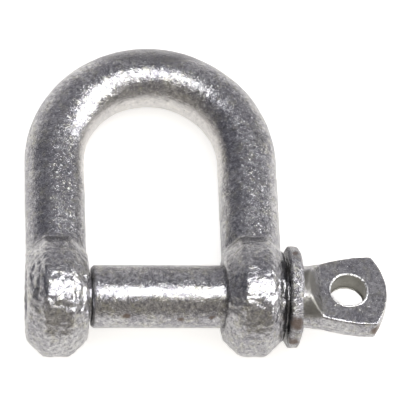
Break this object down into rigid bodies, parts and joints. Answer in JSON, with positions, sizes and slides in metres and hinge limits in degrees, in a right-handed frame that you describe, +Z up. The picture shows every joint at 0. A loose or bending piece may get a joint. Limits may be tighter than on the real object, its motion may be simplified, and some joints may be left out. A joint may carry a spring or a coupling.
{
  "type": "screw pin dee shackle",
  "caption": "Galvanised D shackle: a round bar bent to a D with a forged eye on each end, closed by a screw pin with a collar and a flattened eye.",
  "frame": {"origin": "on the pin axis, half way between the two ears", "axes": "+X along the pin towards its eye, +Y from the pin towards the crown, +Z up, as the shackle lies on a table on the rims of both ears and on its crown, so the D leans 6.9 degrees down to the crown"},
  "size_m": [0.0598, 0.0552, 0.0198],
  "materials": {
    "bow_zinc": "hot-dip galvanised forging, bright and pitted",
    "pin_zinc": "galvanised forging and turned shank, spots of rust on collar and eye"
  },
  "bodies": {
    "bow": {"bow": "bow_zinc"},
    "pin_carriage": {"pin_collar": "pin_zinc"},
    "pin": {"screw_pin": "pin_zinc"}
  },
  "joints": [
    {"name": "pin_travel", "type": "slide", "parent": "bow", "child": "pin_carriage", "axis": [1, 0, 0], "range_m": [-0.00032, 0.0335]},
    {"name": "pin_turn", "type": "hinge", "parent": "pin_carriage", "child": "pin", "pos_m": [0, 0, 0], "axis": [1, 0, 0], "range_deg": [-77, 8041]}
  ],
  "couplings": [
    {"joint": "pin_turn", "follows": "pin_travel", "rad_per_m": 4188.8}
  ]
}
